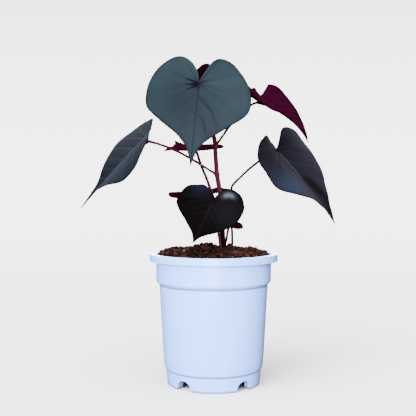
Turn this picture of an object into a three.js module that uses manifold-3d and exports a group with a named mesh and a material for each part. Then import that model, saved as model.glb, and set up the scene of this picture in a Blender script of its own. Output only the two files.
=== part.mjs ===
// A sweet potato vine growing in a plastic pot: heart-shaped leaves on long stalks round one main stem.
// Millimetres, +Z up. The origin is on the pot's axis, at the surface that it stands on, and the
// plant's front is -Y.
import * as THREE from 'three';
import { mergeVertices } from 'three/addons/utils/BufferGeometryUtils.js';
import Module from 'manifold-3d';

const wasm = await Module();
wasm.setup();

// ---------- driving dimensions ----------

const gap = 0.3; // clearance between neighbouring pieces
const bladeThickness = 0.8;
const turnSides = 40; // sides of the pot and of the soil in it

const foot = { bottomRadius: 54.2, topRadius: 55.6, height: 17.4, wall: 1.8 };
const floor = { bottom: 12.6, top: 14.6 };
const arch = {
  angles: [38.5, 141.5, 218.5, 321.5], // from the front
  halfWidth: 9.5,
  height: 11.7,
  flare: 2,
  lip: 1.8,
  depth: 8,
};
const drain = { radius: 4.5, circle: 36, sides: 12 };
const rim = { radius: 75, top: 151.3 };

// Half of the pot's section as [radius, height], from the middle of the floor's underside out, up the
// outside, over the rim and back down the inside.
const potSection = [
  [0, floor.bottom],
  [foot.bottomRadius - foot.wall, floor.bottom],
  [foot.bottomRadius - foot.wall, 0.4],
  [foot.bottomRadius - foot.wall + 0.3, 0],
  [foot.bottomRadius - 0.3, 0],
  [foot.bottomRadius, 0.4],
  [foot.topRadius, foot.height],
  [56.8, 18.4],
  [57.8, 22.5],
  [58.6, 29],
  [63.6, 114],
  [64.2, 116.8],
  [66.6, 118.6],
  [67.3, 120.8],
  [67.5, 149.3],
  [73.2, 149.3],
  [73.2, 143],
  [rim.radius, 143],
  [rim.radius, 150.2],
  [73.9, rim.top],
  [68.4, rim.top],
  [67.2, 150.2],
  [65.6, 143],
  [65.4, 121.4],
  [61.7, 114.2],
  [56.8, 29.4],
  [54.4, 18.8],
  [53.8, floor.top],
  [0, floor.top],
];

// The soil fills the pot to its floor. Its section runs from the middle of its underside out, up the
// pot's wall and in over the heap.
const soilClearance = 0.35;
const soilSection = [
  [0, floor.top + soilClearance],
  [53.4, floor.top + soilClearance],
  [54, 18.9],
  [56.4, 29.4],
  [61.3, 114.3],
  [65, 121.5],
  [65.2, 143],
  [66.2, 149.4],
  [64, 151.4],
  [59.5, 153],
  [52, 154],
  [42, 154.6],
  [32, 155.2],
  [22, 155.8],
  [12, 156.2],
  [0, 156.4],
];
const soilTop = 151; // above this height the soil is lumpy
const soilLumps = [
  { x: -8, y: 18, height: 7, width: 12 },
  { x: -46, y: 6, height: 5.5, width: 9 },
  { x: -24, y: 10, height: 3, width: 14 },
  { x: 47, y: 6, height: 3.6, width: 8 },
  { x: -22, y: -30, height: 1.2, width: 14 },
];
const crumbHeight = 1.3;

// The stems stand this deep in plain holes in the soil.
const holeFloor = 122;
const soilLevel = 155;

const mainStem = {
  radii: [3.2, 2.4], // at its foot and at its tip
  path: [
    [12.5, 2, holeFloor],
    [12.5, 2, soilLevel],
    [11, 1.5, 167],
    [10.5, 1, 177.5],
    [8.5, 0, 202],
    [7.3, -1, 225],
    [5.4, -1, 235],
    [3.8, -1, 245.5],
    [2.9, -0.5, 257.5],
    [2.2, 0, 269],
    [1.5, 1, 282.5],
    [-2, 3, 296.5],
    [-5.5, 5, 310.5],
    [-8.5, 6, 325],
  ],
};

const stalk = { radius: 1.4, footSwelling: 0.4, headSwelling: 0.15, swellingLength: 6 };

const colours = {
  pot: 0xd5e3fb,
  soil: 0x4a2f29,
  stem: 0x4a1c2b,
  stalk: 0x6b2a40,
  slateBlade: 0x465c69,
  darkBlade: 0x262634,
  maroonBlade: 0x4a0a28,
};

// Each leaf is a blade and the stalk that carries it.
// Its junction is where the stalk meets the blade and the veins part. The midrib sets off from there in
// the direction heading (degrees round +Z from +X) and pitch (degrees above level), rolled about itself.
// length runs from the junction to the tip, and halfWidth is the widest half. Pairs are [left, right] of
// the midrib, seen from the blade's upper side: lobeReach, fold, curl (how much the half curls up
// towards its edge), lobeDroop and sinus (how much wider the notch opens). fullness scales the half
// outline's width at the lobe, below the junction, at the middle and near the tip. stalkRadius is given
// for a stalk that is thicker than the others.
const leaves = {
  crown: {
    colour: colours.slateBlade,
    junction: [-17, -22.5, 346.5],
    heading: -105,
    pitch: -70,
    roll: 14,
    length: 102.5,
    halfWidth: 60.7,
    bend: 0,
    bendPower: 1,
    lobeReach: [1.06, 1.09],
    fold: [-7.5, -3.5],
    curl: [2, -8],
    lobeDroop: [-15, -2],
    sinus: [0.03, -0.015],
    fullness: [[0.95, 0.985, 1.165, 0.85], [1.03, 0.955, 1.15, 0.8]],
    twist: 0,
    sway: 0,
    stalkPath: [[-1.7, 2.2, 295.5], [-4, -1.5, 304], [-7.5, -4, 319], [-12, -8.5, 335], [-15.5, -15, 344]],
  },
  top: {
    colour: colours.maroonBlade,
    junction: [3, 15, 353.8],
    heading: 95,
    pitch: -50,
    roll: 0,
    length: 64,
    halfWidth: 32,
    bend: 10,
    bendPower: 1.5,
    lobeReach: [1.25, 1.1],
    fold: [8, 8],
    curl: [5, 5],
    lobeDroop: [0, 0],
    sinus: [0.03, 0.03],
    fullness: [[0.92, 1, 1, 1], [1, 1, 1, 1]],
    twist: 0,
    sway: 0,
    stalkPath: [[-8, 5.8, 322], [-8, 7, 334], [-5, 10, 345], [0, 13, 351.5]],
  },
  left: {
    colour: colours.darkBlade,
    junction: [-74.5, -34.5, 282],
    heading: 154,
    pitch: -37,
    roll: 10,
    length: 119,
    halfWidth: 52,
    bend: 10,
    bendPower: 1.45,
    lobeReach: [0.61, 0.22],
    fold: [10.5, 45],
    curl: [-70, -27],
    lobeDroop: [-14.5, 23],
    sinus: [0.32, 0.17],
    fullness: [[1.01, 0.99, 1.16, 1.11], [1.09, 0.88, 1.12, 0.48]],
    twist: 25,
    sway: -6.5,
    stalkPath: [
      [4.3, -1, 243.5],
      [-1, -4, 246.5],
      [-10, -7, 252],
      [-25, -13.5, 261],
      [-44.5, -22, 271],
      [-58.5, -28, 276.5],
      [-69.5, -34, 280.5],
    ],
  },
  right: {
    colour: colours.darkBlade,
    junction: [78.5, 41.5, 275],
    heading: -2,
    pitch: -48.5,
    roll: -34,
    length: 120,
    halfWidth: 66,
    bend: 10.5,
    bendPower: 2.06,
    lobeReach: [0.5, 0.74],
    fold: [22.5, 24.5],
    curl: [-37, -47],
    lobeDroop: [-25.5, -49.5],
    sinus: [0.25, -0.04],
    fullness: [[1.01, 0.95, 1.04, 1.4], [0.96, 0.9, 1.21, 1.1]],
    twist: 6,
    sway: 1.3,
    stalkPath: [
      [22.3, 8, holeFloor],
      [22.3, 8, 157.5],
      [21.8, 10, 181.5],
      [20, 11, 208],
      [20.8, 11.8, 223],
      [22.2, 12.5, 230.5],
      [32.2, 15, 241],
      [42.8, 19, 251],
      [56, 26, 261.3],
      [69.5, 35, 269.5],
    ],
  },
  upper: {
    colour: colours.maroonBlade,
    junction: [54, 32.5, 334.5],
    heading: -3.5,
    pitch: -26.5,
    roll: 17.5,
    length: 85,
    halfWidth: 51.5,
    bend: 48,
    bendPower: 1.9,
    lobeReach: [1.25, 0.96],
    fold: [34.5, 5],
    curl: [36, -54],
    lobeDroop: [-83, -22],
    sinus: [0.01, -0.05],
    fullness: [[0.93, 1.09, 0.86, 1.15], [1.1, 1.03, 0.99, 1.04]],
    twist: -26,
    sway: 4.6,
    stalkPath: [[2.2, 0.6, 278], [5.2, 1.6, 281.5], [16.8, 7, 298.2], [31, 15, 316], [44, 24, 327.5]],
  },
  front: {
    colour: colours.darkBlade,
    junction: [0, -48, 215],
    heading: -121,
    pitch: -47,
    roll: 32.5,
    length: 65,
    halfWidth: 41,
    bend: -5,
    bendPower: 1.25,
    lobeReach: [1.06, 0.95],
    fold: [-2, -2.5],
    curl: [-13, -5],
    lobeDroop: [-9.5, 35.5],
    sinus: [0, 0],
    fullness: [[1.04, 0.86, 0.92, 1.34], [1, 0.88, 1.1, 1.38]],
    twist: 3.5,
    sway: 0.5,
    stalkPath: [[9, 0, 197], [8.5, -10, 205], [6.5, -25, 212], [3.5, -38, 215]],
  },
  mid: {
    colour: colours.maroonBlade,
    junction: [-20, 20.5, 274],
    heading: 126,
    pitch: 8.5,
    roll: 2.5,
    length: 55,
    halfWidth: 39.5,
    bend: -22,
    bendPower: 1.7,
    lobeReach: [1.07, 0.97],
    fold: [4.5, 0.5],
    curl: [-11, 14.5],
    lobeDroop: [5, -18.5],
    sinus: [-0.02, 0],
    fullness: [[0.9, 1.1, 0.96, 1.02], [1.1, 1, 1.13, 0.95]],
    twist: 4,
    sway: 3.5,
    stalkRadius: 1.65,
    stalkPath: [
      [7.7, -3, holeFloor],
      [7.7, -3, 161],
      [5.9, -2.5, 175],
      [4, 0, 196.5],
      [0.3, 4, 215.5],
      [-3.4, 7.5, 226],
      [-8.5, 11.5, 240],
      [-15.5, 16.5, 257],
    ],
  },
  back: {
    colour: colours.maroonBlade,
    junction: [-16.5, 27, 222],
    heading: 101.5,
    pitch: -11.5,
    roll: 7.5,
    length: 48.5,
    halfWidth: 41.5,
    bend: 2.5,
    bendPower: 1.17,
    lobeReach: [0.94, 1],
    fold: [2, 5],
    curl: [10.5, -14],
    lobeDroop: [5, -9.5],
    sinus: [-0.03, 0.07],
    fullness: [[1.14, 0.91, 0.95, 1], [1.06, 0.92, 1.04, 0.96]],
    twist: 5.5,
    sway: -0.4,
    stalkPath: [[8.5, 0, 203], [5, 7, 209.5], [-3, 15, 215], [-11, 22, 219]],
  },
  low: {
    colour: colours.maroonBlade,
    junction: [19.5, 26, 183.5],
    heading: 70,
    pitch: -16,
    roll: 4,
    length: 31.5,
    halfWidth: 17,
    bend: -10,
    bendPower: 1.18,
    lobeReach: [1.07, 0.97],
    fold: [-5.5, 1],
    curl: [-8, -5.5],
    lobeDroop: [-1, -6.5],
    sinus: [-0.05, 0.04],
    fullness: [[1.04, 0.91, 0.84, 1.04], [1.11, 0.95, 0.99, 1.13]],
    twist: -26.5,
    sway: 2.8,
    stalkPath: [[12.2, 2, 160], [15.2, 5, 167], [16.5, 10.5, 174.5], [18.5, 18, 181]],
  },
};

// ---------- solids ----------

// A closed geometry as a manifold solid: its doubled vertices are merged, and the flat triangles that
// this leaves at a pole are dropped.
function solidOf(geometry, matrix = new THREE.Matrix4()) {
  const bare = geometry.clone().applyMatrix4(matrix);
  bare.deleteAttribute('normal');
  bare.deleteAttribute('uv');
  const merged = mergeVertices(bare);
  const corners = merged.index.array;
  const triangles = [];
  for (let i = 0; i < corners.length; i += 3) {
    const [a, b, c] = corners.slice(i, i + 3);
    if (a !== b && b !== c && c !== a) triangles.push(a, b, c);
  }
  const vertProperties = new Float32Array(merged.attributes.position.array);
  const triVerts = new Uint32Array(triangles);
  return new wasm.Manifold(new wasm.Mesh({ numProp: 3, vertProperties, triVerts }));
}

function geometryOf(solid) {
  const { vertProperties, triVerts } = solid.getMesh();
  const geometry = new THREE.BufferGeometry();
  geometry.setAttribute('position', new THREE.BufferAttribute(vertProperties, 3));
  geometry.setIndex(new THREE.BufferAttribute(triVerts, 1));
  geometry.computeVertexNormals();
  return geometry;
}

// A cut can leave loose scraps: the largest piece is the one that is kept.
function largestPiece(solid) {
  const pieces = solid.decompose();
  return pieces.reduce((best, piece) => (piece.volume() > best.volume() ? piece : best));
}

function meshOf(name, geometry, colour, roughness) {
  const material = new THREE.MeshStandardMaterial({ color: colour, roughness, metalness: 0 });
  const mesh = new THREE.Mesh(geometry, material);
  mesh.name = name;
  return mesh;
}

// A section turned about +Z, with its first point's side at the front.
function turned(section) {
  const points = section.map(([radius, height]) => new THREE.Vector2(radius, height));
  return new THREE.LatheGeometry(points, turnSides).rotateX(Math.PI / 2);
}

// ---------- pot ----------

// The outline of an arch in the foot, flared at the surface that the pot stands on.
function archShape(grow) {
  const halfWidth = arch.halfWidth + grow;
  const shape = new THREE.Shape();
  shape.moveTo(-halfWidth - arch.flare, -1);
  shape.lineTo(-halfWidth - arch.flare, 0);
  shape.quadraticCurveTo(-halfWidth, 0.4, -halfWidth, 2.8);
  shape.absellipse(0, 2.8, halfWidth, arch.height + grow - 2.8, Math.PI, 0, true);
  shape.quadraticCurveTo(halfWidth, 0.4, halfWidth + arch.flare, 0);
  shape.lineTo(halfWidth + arch.flare, -1);
  shape.closePath();
  return shape;
}

// An arch's outline drawn out from one radius to another, at an angle from the front.
function archBlock(grow, innerRadius, outerRadius, angle) {
  const block = new THREE.ExtrudeGeometry(archShape(grow), {
    depth: outerRadius - innerRadius,
    bevelEnabled: false,
    curveSegments: 4,
  });
  block.translate(0, 0, innerRadius).rotateX(Math.PI / 2).rotateZ(THREE.MathUtils.degToRad(angle));
  return solidOf(block);
}

function drainHole(angle, circle) {
  const height = 3 * (floor.top - floor.bottom);
  const hole = new THREE.CylinderGeometry(drain.radius, drain.radius, height, drain.sides);
  hole.rotateX(Math.PI / 2).translate(0, -circle, floor.top).rotateZ(THREE.MathUtils.degToRad(angle));
  return solidOf(hole);
}

function makePot() {
  const footInside = foot.bottomRadius - foot.wall;
  const groundCut = solidOf(new THREE.BoxGeometry(200, 200, 10).translate(0, 0, -5));
  let solid = solidOf(turned(potSection));
  for (const angle of arch.angles) {
    const lining = archBlock(arch.lip, footInside - arch.depth, footInside + 0.3, angle);
    solid = solid.add(lining.subtract(groundCut));
  }
  for (const angle of arch.angles) {
    solid = solid.subtract(archBlock(0, footInside - 2 * arch.depth, rim.radius, angle));
    solid = solid.subtract(drainHole(angle, drain.circle));
  }
  solid = solid.subtract(drainHole(0, 0));
  return meshOf('pot', geometryOf(solid), colours.pot, 0.38);
}

// ---------- soil ----------

function soilRelief(x, y, random) {
  let height = (random() - 0.5) * 2 * crumbHeight;
  for (const lump of soilLumps) {
    const distance = Math.hypot(x - lump.x, y - lump.y);
    height += lump.height * Math.exp(-((distance / lump.width) ** 2));
  }
  return height;
}

// Small seeded generator, so that the soil is the same each time.
function seededRandom(seed) {
  let state = seed;
  return () => {
    state = (state * 16807) % 2147483647;
    return state / 2147483647;
  };
}

function makeSoil(stemsInSoil) {
  const heap = turned(soilSection);
  heap.deleteAttribute('normal');
  heap.deleteAttribute('uv');
  const merged = mergeVertices(heap);
  const place = merged.attributes.position;
  const random = seededRandom(11);
  for (let i = 0; i < place.count; i += 1) {
    const relief = soilRelief(place.getX(i), place.getY(i), random);
    if (place.getZ(i) > soilTop) place.setZ(i, place.getZ(i) + relief);
  }
  let solid = solidOf(merged);
  for (const stem of stemsInSoil) solid = solid.subtract(stem);
  return meshOf('soil', geometryOf(largestPiece(solid)), colours.soil, 1);
}

// ---------- stems ----------

// A closed round tube along a path, with a radius that changes along it.
function taperedTube(path, radiusAt, segments, sides) {
  const curve = new THREE.CatmullRomCurve3(path.map((point) => new THREE.Vector3(...point)));
  const { tangents, normals, binormals } = curve.computeFrenetFrames(segments, false);
  const length = curve.getLength();
  const vertices = [];
  const triangles = [];
  for (let i = 0; i <= segments; i += 1) {
    const centre = curve.getPointAt(i / segments);
    const radius = radiusAt(i / segments, length);
    for (let j = 0; j < sides; j += 1) {
      const turn = (2 * Math.PI * j) / sides;
      const out = normals[i].clone().multiplyScalar(Math.cos(turn));
      out.addScaledVector(binormals[i], Math.sin(turn));
      vertices.push(...centre.clone().addScaledVector(out, radius).toArray());
      if (i < segments) {
        const a = i * sides + j;
        const b = i * sides + ((j + 1) % sides);
        triangles.push(a, b, b + sides, a, b + sides, a + sides);
      }
    }
  }
  const startCentre = vertices.length / 3;
  vertices.push(...curve.getPointAt(0).toArray(), ...curve.getPointAt(1).toArray());
  for (let j = 0; j < sides; j += 1) {
    const next = (j + 1) % sides;
    const last = segments * sides;
    triangles.push(startCentre, next, j, startCentre + 1, last + j, last + next);
  }
  const geometry = new THREE.BufferGeometry();
  geometry.setAttribute('position', new THREE.Float32BufferAttribute(vertices, 3));
  geometry.setIndex(triangles);
  return geometry;
}

function mainStemSolid(grow) {
  const [footRadius, tipRadius] = mainStem.radii;
  const radiusAt = (t) => THREE.MathUtils.lerp(footRadius, tipRadius, t) + grow;
  return solidOf(taperedTube(mainStem.path, radiusAt, 26, 10));
}

const stalkRadius = (leaf) => leaf.stalkRadius ?? stalk.radius;

// A stalk swells a little where it leaves the stem and where it meets its blade.
function stalkSolid(path, leaf, grow) {
  const radiusAt = (t, length) => {
    const fromFoot = (t * length) / stalk.swellingLength;
    const fromHead = ((1 - t) * length) / stalk.swellingLength;
    const footSwelling = stalk.footSwelling * Math.exp(-(fromFoot ** 2));
    const headSwelling = stalk.headSwelling * Math.exp(-(fromHead ** 2));
    return stalkRadius(leaf) + footSwelling + headSwelling + grow;
  };
  return solidOf(taperedTube(path, radiusAt, 6 + 2 * path.length, 8));
}

// The mesh of a stem or stalk, with its own origin at its foot.
function stemMesh(name, solid, base, colour) {
  const mesh = meshOf(name, geometryOf(solid).translate(-base[0], -base[1], -base[2]), colour, 0.55);
  mesh.position.set(...base);
  return mesh;
}

// ---------- leaf blades ----------

// Half the outline of a flat blade, from the bottom of its notch round the lobe to its tip: along the
// midrib in lengths, and across it in half widths.
const halfOutline = [
  [-0.03, 0],
  [-0.14, 0.06],
  [-0.26, 0.2],
  [-0.31, 0.4],
  [-0.26, 0.66],
  [-0.1, 0.91],
  [0.1, 1],
  [0.3, 0.88],
  [0.48, 0.6],
  [0.63, 0.34],
  [0.76, 0.16],
  [0.88, 0.06],
  [1, 0],
];
const notchPoints = [0, 1, 0.75, 0.35, 0.1, 0]; // how far each first point follows the notch's opening
const fullnessStations = [-0.3, 0.05, 0.4, 0.75];
const lobeLength = 0.34;

function interpolate(x, stations, values) {
  if (x <= stations[0]) return values[0];
  for (let i = 1; i < stations.length; i += 1) {
    const t = (x - stations[i - 1]) / (stations[i] - stations[i - 1]);
    if (t <= 1) return THREE.MathUtils.lerp(values[i - 1], values[i], t);
  }
  return values[values.length - 1];
}

// One side of the flat outline, evenly stepped along the spline through its points.
function sideOutline(leaf, side, steps) {
  const points = halfOutline.map(([along, across], i) => {
    const opened = across + leaf.sinus[side] * (notchPoints[i] ?? 0);
    const width = opened * interpolate(along, fullnessStations, leaf.fullness[side]);
    return new THREE.Vector2(along < 0 ? along * leaf.lobeReach[side] : along, width);
  });
  return new THREE.SplineCurve(points).getPoints(steps);
}

// The whole flat outline, anticlockwise from the bottom of the notch.
function bladeOutline(leaf, steps) {
  const right = sideOutline(leaf, 1, steps);
  const left = sideOutline(leaf, 0, steps).map((point) => new THREE.Vector2(point.x, -point.y));
  const notch = new THREE.Vector2((halfOutline[0][0] * (leaf.lobeReach[0] + leaf.lobeReach[1])) / 2, 0);
  return [notch, ...right.slice(1), ...left.slice(1, -1).reverse()];
}

// Follows an arc whose pitch changes along it: how far forward and up it gets.
function followArc(distance, pitchAt) {
  const steps = 16;
  let forward = 0;
  let up = 0;
  for (let i = 0; i < steps; i += 1) {
    const pitch = pitchAt((distance * (i + 0.5)) / steps);
    forward += (Math.cos(pitch) * distance) / steps;
    up += (Math.sin(pitch) * distance) / steps;
  }
  return { forward, up, pitch: pitchAt(distance) };
}

// The midrib bends down towards the tip, and behind the junction each lobe droops on its own.
function spineAt(leaf, along, side) {
  if (along >= 0) {
    const bend = THREE.MathUtils.degToRad(leaf.bend);
    return followArc(along, (s) => -bend * (s / leaf.length) ** leaf.bendPower);
  }
  const droop = THREE.MathUtils.degToRad(leaf.lobeDroop[side]);
  const back = followArc(-along, (s) => (-droop * s) / (lobeLength * leaf.length));
  return { forward: -back.forward, up: back.up, pitch: -back.pitch };
}

// Where a point of the flat outline lies on the folded, curled, bent and twisted blade: x to the right
// of the midrib, y along it and z up from the junction.
function bladePoint(leaf, flat) {
  const along = flat.x * leaf.length;
  const across = flat.y * leaf.halfWidth;
  const side = across < 0 ? 0 : 1;
  const spine = spineAt(leaf, along, side);
  const fold = THREE.MathUtils.degToRad(leaf.fold[side]);
  const curl = THREE.MathUtils.degToRad(leaf.curl[side]) / leaf.halfWidth;
  const end = fold + curl * Math.abs(across);
  const out = ((Math.sin(end) - Math.sin(fold)) / curl) * (side === 0 ? -1 : 1);
  const rise = (Math.cos(fold) - Math.cos(end)) / curl;
  const twist = THREE.MathUtils.degToRad(leaf.twist) * THREE.MathUtils.clamp(flat.x, -0.3, 1);
  const x = out * Math.cos(twist) - rise * Math.sin(twist);
  const h = out * Math.sin(twist) + rise * Math.cos(twist);
  const sway = (leaf.sway / 100) * leaf.length * THREE.MathUtils.clamp(flat.x, 0, 1) ** 2;
  return [x + sway, spine.forward - h * Math.sin(spine.pitch), spine.up + h * Math.cos(spine.pitch)];
}

// The blade's middle surface: rings of its outline shrunk towards the junction.
function bladeSurface(leaf) {
  const large = leaf.length > 80;
  const steps = large ? 18 : 14;
  const rings = large ? 4 : 3;
  const outline = bladeOutline(leaf, steps);
  const count = outline.length;
  const vertices = [0, 0, 0];
  const triangles = [];
  for (let ring = 1; ring <= rings; ring += 1) {
    outline.forEach((point, i) => {
      vertices.push(...bladePoint(leaf, point.clone().multiplyScalar(ring / rings)));
      const outer = 1 + (ring - 1) * count + i;
      const outerNext = 1 + (ring - 1) * count + ((i + 1) % count);
      if (ring === 1) triangles.push(0, outer, outerNext);
      else triangles.push(outer - count, outer, outerNext, outer - count, outerNext, outerNext - count);
    });
  }
  const surface = new THREE.BufferGeometry();
  surface.setAttribute('position', new THREE.Float32BufferAttribute(vertices, 3));
  surface.setIndex(triangles);
  surface.computeVertexNormals();
  return { surface, count };
}

// The blade with its thickness: the middle surface moved both ways along its normals, split into
// triangles alike on both faces, and closed round its edge.
function bladeGeometry(leaf, thickness) {
  const { surface, count } = bladeSurface(leaf);
  const place = surface.attributes.position;
  const normal = surface.attributes.normal;
  const faces = surface.index.array;
  const vertices = [];
  for (const offset of [thickness / 2, -thickness / 2]) {
    for (let i = 0; i < place.count; i += 1) {
      vertices.push(place.getX(i) + normal.getX(i) * offset);
      vertices.push(place.getY(i) + normal.getY(i) * offset);
      vertices.push(place.getZ(i) + normal.getZ(i) * offset);
    }
  }
  const under = place.count;
  const triangles = [...faces];
  for (let i = 0; i < faces.length; i += 3) {
    triangles.push(faces[i] + under, faces[i + 2] + under, faces[i + 1] + under);
  }
  const edge = place.count - count;
  for (let i = 0; i < count; i += 1) {
    const a = edge + i;
    const b = edge + ((i + 1) % count);
    triangles.push(a + under, b + under, b, a + under, b, a);
  }
  const geometry = new THREE.BufferGeometry();
  geometry.setAttribute('position', new THREE.Float32BufferAttribute(vertices, 3));
  geometry.setIndex(triangles);
  geometry.computeVertexNormals();
  return geometry;
}

function bladeMesh(name, leaf) {
  const mesh = meshOf(`leaf_${name}`, bladeGeometry(leaf, bladeThickness), leaf.colour, 0.42);
  const { degToRad } = THREE.MathUtils;
  mesh.position.set(...leaf.junction);
  mesh.rotation.set(degToRad(leaf.pitch), degToRad(-leaf.roll), degToRad(leaf.heading - 90), 'ZXY');
  mesh.updateMatrix();
  return mesh;
}

// A stalk's path ends close under its blade's junction, where the blade's underside trims it.
function fullStalkPath(leaf, blade) {
  const drop = bladeThickness / 2 + gap + 0.35 * stalkRadius(leaf);
  const head = new THREE.Vector3(0, 0, -drop).applyMatrix4(blade.matrix);
  return [...leaf.stalkPath, head.toArray()];
}

// ---------- the plant in its pot ----------

const vine = new THREE.Group();
const grownMainStem = mainStemSolid(gap);
const stemsInSoil = [grownMainStem];

vine.add(makePot());
vine.add(stemMesh('stem_main', mainStemSolid(0), mainStem.path[0], colours.stem));

for (const [name, leaf] of Object.entries(leaves)) {
  const blade = bladeMesh(name, leaf);
  const path = fullStalkPath(leaf, blade);
  const grownBlade = solidOf(bladeGeometry(leaf, bladeThickness + 2 * gap), blade.matrix);
  const solid = largestPiece(stalkSolid(path, leaf, 0).subtract(grownMainStem).subtract(grownBlade));
  if (path[0][2] < soilLevel) stemsInSoil.push(stalkSolid(path, leaf, gap));
  vine.add(stemMesh(`stalk_${name}`, solid, path[0], colours.stalk));
  vine.add(blade);
}

vine.add(makeSoil(stemsInSoil));

export default vine;
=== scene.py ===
import bpy
import numpy as np
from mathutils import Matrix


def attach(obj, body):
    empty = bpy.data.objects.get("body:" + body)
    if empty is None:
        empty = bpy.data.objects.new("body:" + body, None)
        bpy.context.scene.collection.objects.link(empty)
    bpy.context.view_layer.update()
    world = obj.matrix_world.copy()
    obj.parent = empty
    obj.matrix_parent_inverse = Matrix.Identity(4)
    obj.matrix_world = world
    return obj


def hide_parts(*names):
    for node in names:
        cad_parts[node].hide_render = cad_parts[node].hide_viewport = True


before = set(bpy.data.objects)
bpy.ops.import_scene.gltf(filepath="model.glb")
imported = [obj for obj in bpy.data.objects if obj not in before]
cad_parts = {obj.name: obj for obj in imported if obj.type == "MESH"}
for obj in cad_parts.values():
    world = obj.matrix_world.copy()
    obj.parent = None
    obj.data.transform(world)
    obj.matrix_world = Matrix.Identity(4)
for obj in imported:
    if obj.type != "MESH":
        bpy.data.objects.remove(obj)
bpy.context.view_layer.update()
print("frame loaded")


def linear(colour):
    # sRGB hex to linear light, channel by channel
    part = np.array([int(colour[i:i + 2], 16) for i in (1, 3, 5)]) / 255
    part = np.where(part <= 0.04045, part / 12.92, ((part + 0.055) / 1.055) ** 2.4)
    return (*part.tolist(), 1.0)


def unit(vectors):
    return vectors / np.linalg.norm(vectors, axis=-1, keepdims=True)


def turnsOf(count):
    # evenly spaced angles, once round
    return np.linspace(0, 2 * np.pi, count, endpoint=False)


def cornerCurve(start, corner, end, count):
    # points on a short curve that leaves start towards corner and comes to end from it
    t = np.linspace(0, 1, count)[:, None]
    return start * (1 - t) ** 2 + corner * 2 * t * (1 - t) + end * t ** 2


def gridFaces(rows, columns, closed=True):
    # four-sided faces between neighbours on a grid; closed joins the last column to the first
    steps = columns if closed else columns - 1
    row, column = np.meshgrid(np.arange(rows - 1), np.arange(steps), indexing="ij")
    beside = (column + 1) % columns
    here, above = row * columns, (row + 1) * columns
    return np.stack([here + column, here + beside, above + beside, above + column], -1).reshape(-1, 4)


def fanFaces(centre, ring, flip=False):
    # triangles from one point to a ring of points
    beside = np.roll(ring, -1)
    order = [np.full(len(ring), centre), beside, ring] if flip else [np.full(len(ring), centre), ring, beside]
    return np.stack(order, -1)


def closedRings(grid, poles, flip=False):
    # points and faces of rings joined row to row, with a fan of triangles to a pole at each end
    rows, count = grid.shape[:2]
    quads = gridFaces(rows, count)
    first, last = np.arange(count), (rows - 1) * count + np.arange(count)
    fans = [fanFaces(rows * count, first, not flip), fanFaces(rows * count + 1, last, flip)]
    return np.vstack([grid.reshape(-1, 3), poles]), [quads[:, ::-1] if flip else quads, *fans]


def latticeNoise(place, cell, seed, size=64):
    # a random value at each corner of a square lattice, blended smoothly between the corners, -1 to 1
    table = np.random.default_rng(seed).uniform(-1, 1, (size, size))
    scaled = np.asarray(place) / cell
    low = np.floor(scaled).astype(int)
    blend = scaled - low
    blend = blend * blend * (3 - 2 * blend)
    (i, j), (i2, j2) = (np.moveaxis(corner % size, -1, 0) for corner in (low, low + 1))
    near = table[i, j] * (1 - blend[..., 0]) + table[i2, j] * blend[..., 0]
    far = table[i, j2] * (1 - blend[..., 0]) + table[i2, j2] * blend[..., 0]
    return near * (1 - blend[..., 1]) + far * blend[..., 1]


def newMesh(name, points, faces, smooth=True):
    mesh = bpy.data.meshes.new(name)
    mesh.from_pydata(points.tolist(), [], [face for group in faces for face in group.tolist()])
    mesh.polygons.foreach_set("use_smooth", [smooth] * len(mesh.polygons))
    return mesh


def addObject(name, data):
    thing = bpy.data.objects.new(name, data)
    bpy.context.scene.collection.objects.link(thing)
    return thing


def makePiece(name, points, faces, material, nodes, smooth=True, values=None, flat=None):
    # one mesh object at the origin, with its named vertex values and its flat coordinates as a UV map
    mesh = newMesh(name, points, faces, smooth)
    for key, value in (values or {}).items():
        mesh.attributes.new(key, "FLOAT", "POINT").data.foreach_set("value", value.astype(np.float32))
    if flat is not None:
        corner = np.empty(len(mesh.loops), dtype=np.int32)
        mesh.loops.foreach_get("vertex_index", corner)
        mesh.uv_layers.new(name="flat").data.foreach_set("uv", flat[corner].astype(np.float32).ravel())
    mesh.materials.append(material)
    finishPiece(addObject(name, mesh), nodes)


def finishPiece(piece, nodes):
    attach(piece, "root")
    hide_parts(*nodes)


def newMaterial(name):
    # an empty material and its node tree
    material = bpy.data.materials.new(name)
    material.use_nodes = True
    material.node_tree.nodes.clear()
    return material, material.node_tree


def addNode(tree, kind, settings=None, links=None, output=0):
    # A node with its settings (a number or an input's name sets that input, anything else is an option) and
    # its links in, which gives back one of its outputs. Hex text among the links is a colour.
    node = tree.nodes.new("ShaderNode" + kind)
    for key, value in (settings or {}).items():
        if isinstance(key, int) or key in node.inputs:
            node.inputs[key].default_value = value
        else:
            setattr(node, key, value)
    for key, source in (links or {}).items():
        if isinstance(source, str):
            node.inputs[key].default_value = linear(source)
        else:
            tree.links.new(source, node.inputs[key])
    return node.outputs[output]


def closeMaterial(tree, constants, links):
    # the surface, with what is the same all over it and what drives the rest
    surface = addNode(tree, "BsdfPrincipled", constants, links)
    tree.links.new(surface, tree.nodes.new("ShaderNodeOutputMaterial").inputs[0])


leafGrain = {  # scales are in cells to a metre
    "mottle": 38.0, "areoles": 620.0, "threadWidth": 0.16, "pores": 900.0, "poreShare": 0.35,
    "depth": 0.00012, "roughnessSpread": (-0.06, 0.08)}


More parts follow.
